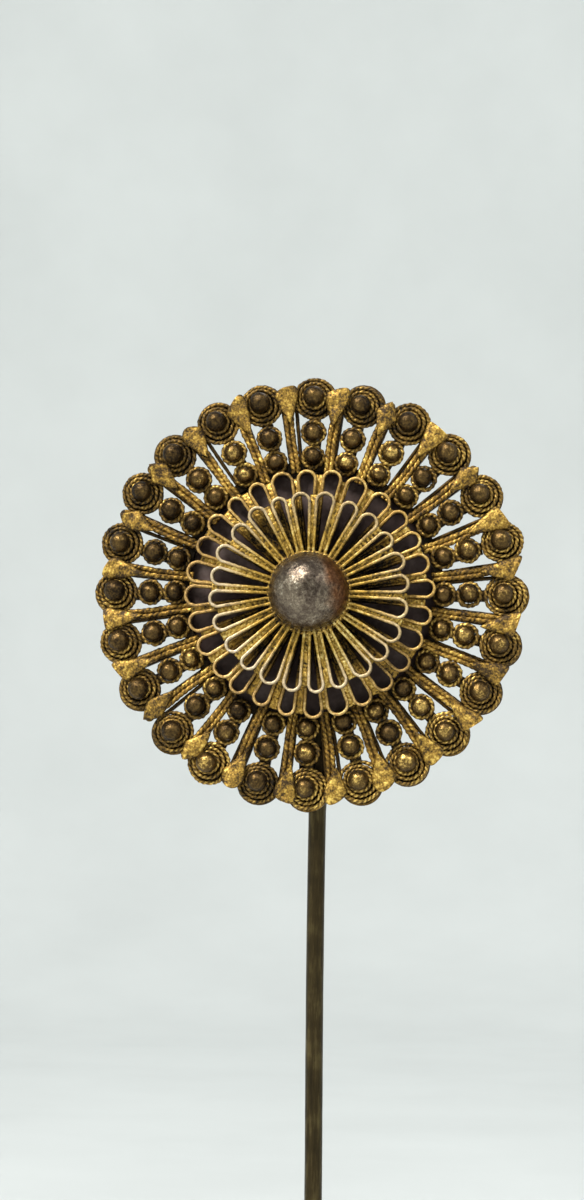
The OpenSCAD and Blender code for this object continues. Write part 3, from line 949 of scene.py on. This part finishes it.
def make_light():
    bpy.context.scene.view_settings.view_transform = "Standard"
    world = bpy.data.worlds.new("studio")
    bpy.context.scene.world = world
    world.use_nodes = True
    sky = world.node_tree.nodes["Background"]
    sky.inputs["Color"].default_value = (0.95, 0.97, 1.0, 1.0)
    sky.inputs["Strength"].default_value = 0.47
    add_lamp("key", (-0.42, -0.60, 0.85), 0.34, 17.0, (1.0, 0.98, 0.95))
    add_lamp("fill", (0.70, -0.50, 0.60), 0.40, 2.5)
    add_lamp("back", (0.20, 0.80, 0.75), 0.50, 2.5)


def make_card(material):
    """A dark card behind the camera, so that polished metal has something dark to mirror."""
    x0, x1, z0, z1 = -0.62, 0.40, -0.45, 0.30
    near, far = -0.98, -1.0
    points = [(x, y, z) for y in (near, far) for z in (z0, z1) for x in (x0, x1)]
    faces = [(0, 1, 3, 2), (5, 4, 6, 7), (1, 5, 7, 3), (4, 0, 2, 6), (2, 3, 7, 6), (4, 5, 1, 0)]
    mesh = bpy.data.meshes.new("studio_card")
    mesh.from_pydata((np.array(points) + HEAD_MIDDLE).tolist(), [], faces)
    mesh.materials.append(material)
    card = bpy.data.objects.new("studio_card", mesh)
    bpy.context.scene.collection.objects.link(card)


# The view: how far off square the camera stands, its distance, and the height that the picture takes in
VIEW_AZIMUTH, VIEW_ELEVATION, VIEW_ROLL = 4.2, -3.6, 0.7
VIEW_DISTANCE = 0.26
VIEW_HEIGHT = 0.1164
# The head's middle is a little right of and above the middle of the picture
VIEW_RIGHT, VIEW_UP = 0.0019, 0.0005


def make_camera():
    data = bpy.data.cameras.new("camera")
    data.sensor_fit = "VERTICAL"
    data.sensor_height = 36
    data.lens = 36 * VIEW_DISTANCE / VIEW_HEIGHT
    data.clip_start = 0.01
    camera = bpy.data.objects.new("camera", data)
    bpy.context.scene.collection.objects.link(camera)
    az, el = math.radians(VIEW_AZIMUTH), math.radians(VIEW_ELEVATION)
    towards = np.array([-math.sin(az) * math.cos(el), math.cos(az) * math.cos(el), -math.sin(el)])
    right = np.array([math.cos(az), math.sin(az), 0])
    upwards = np.cross(right, towards)
    target = HEAD_MIDDLE - VIEW_RIGHT * right - VIEW_UP * upwards
    aimed(camera, target - towards * VIEW_DISTANCE, target, VIEW_ROLL)
    bpy.context.scene.camera = camera


# ---------------------------------------------------------------- putting it together

make_camera()
make_light()
make_stage(paper_material())
make_card(felt_material())

FRAME_GILT = worn_metal("frame_gilt", GRIME, linear(96, 72, 34), linear(196, 156, 78), patchy=0.4)
CUP_BRONZE = worn_metal("cup_bronze", linear(26, 20, 12), linear(64, 49, 26), linear(124, 96, 46), lift=0.1)
RING_GILT = worn_metal("ring_gilt", linear(36, 27, 14), linear(140, 108, 48), linear(232, 196, 104),
                       patchy=0.6, lift=0.07, grain=0.05, metallic=0.7)
BEAD_BRONZE = worn_metal("bead_bronze", linear(36, 27, 17), linear(104, 81, 44), linear(226, 188, 104),
                         rough=(0.45, 0.26), patchy=0.5, grain=0.05)
RIB_GILT = worn_metal("rib_gilt", linear(44, 31, 14), linear(150, 114, 46), linear(232, 194, 98),
                      patchy=0.62, grain=0.05, metallic=0.7)
LEAF_GOLD = worn_metal("leaf_gold", linear(58, 42, 18), linear(162, 126, 50), linear(230, 196, 100),
                       patchy=0.78, rough=(0.55, 0.36), grain=0.07, metallic=0.6)
ROSETTE_GILT = worn_metal("rosette_gilt", linear(24, 17, 12), linear(184, 144, 58), linear(252, 230, 146),
                          patchy=0.5, silver=linear(206, 172, 128), grain=0.05, metallic=0.65)
ROSETTE_SILVERED = worn_metal("rosette_silvered", linear(24, 17, 12), linear(188, 150, 62),
                              linear(252, 232, 152), patchy=0.5, silver=linear(206, 188, 158), grain=0.05,
                              metallic=0.65)
BACK_BRONZE = worn_metal("back_bronze", linear(24, 19, 12), linear(62, 48, 28), linear(118, 92, 52),
                         patchy=0.3, lift=0.1)
GREY_METAL = worn_metal("rivet_metal", linear(70, 64, 58), linear(120, 112, 102), linear(170, 162, 150),
                        patchy=0.3, lift=0.2)

make_cell_frames(FRAME_GILT)
make_bead_bars(BACK_BRONZE)
make_rim_discs(CUP_BRONZE)
SEAT = ring_set("rim_seat_rings", RIM_ROW_R, 1.2, 0.8)
OUTER_LEVEL = LOBE_H + 0.1
make_rings("rim_outer_rings", RIM_ROW_R, [
    (CUP_R + 0.07, OUTER_LEVEL, WIRE_R * 1.2, 0.25),
    ((CUP_R + 0.07 + SEAT[0]) / 2, (OUTER_LEVEL + SEAT[1]) / 2, WIRE_R * 1.2, 0.5),
], RING_GILT)
make_rings("rim_seat_rings", RIM_ROW_R, [SEAT], RING_GILT)
make_beads("rim_beads", RIM_ROW_R, RIM_BEAD_R, heights("rim_beads")[0], BEAD_BRONZE, 1.2)
make_rings("middle_rings", MIDDLE_ROW_R, [ring_set("middle_rings", MIDDLE_ROW_R, 1.4, 0.7)], RING_GILT)
make_beads("middle_beads", MIDDLE_ROW_R, MIDDLE_BEAD_R, heights("middle_beads")[0], BEAD_BRONZE, 0.8)
make_rings("inner_rings", INNER_ROW_R, [ring_set("inner_rings", INNER_ROW_R, 1.4, 0.7)], RING_GILT)
make_beads("inner_beads", INNER_ROW_R, INNER_BEAD_R, heights("inner_beads")[0], BEAD_BRONZE, 0.8)
make_rib_wires(RIB_GILT)
make_leaves(LEAF_GOLD)
# The lower rosette gets painted shade inside the upper rosette's reach.
make_rosette("lower_rosette", LOWER_LOOPS, LOWER_R, ROSETTE_GILT, 2.0, 0.45, UPPER_R - 0.8)
make_rosette("upper_rosette", UPPER_LOOPS, UPPER_R, ROSETTE_SILVERED, 5.0, 1.0)
PLATE_BRONZE = plate_material()
make_ball_seat(RING_GILT)
make_base_plate(PLATE_BRONZE)
make_back_washer(BACK_BRONZE)
make_centre_rivet(GREY_METAL)
make_ball(ball_material())
make_stem(stem_material())
make_stem_pad(BACK_BRONZE)
for node in ("cell_collar", "lower_spacer", "upper_spacer"):
    frame["nodes"][node].data.materials.clear()
    frame["nodes"][node].data.materials.append(BACK_BRONZE)
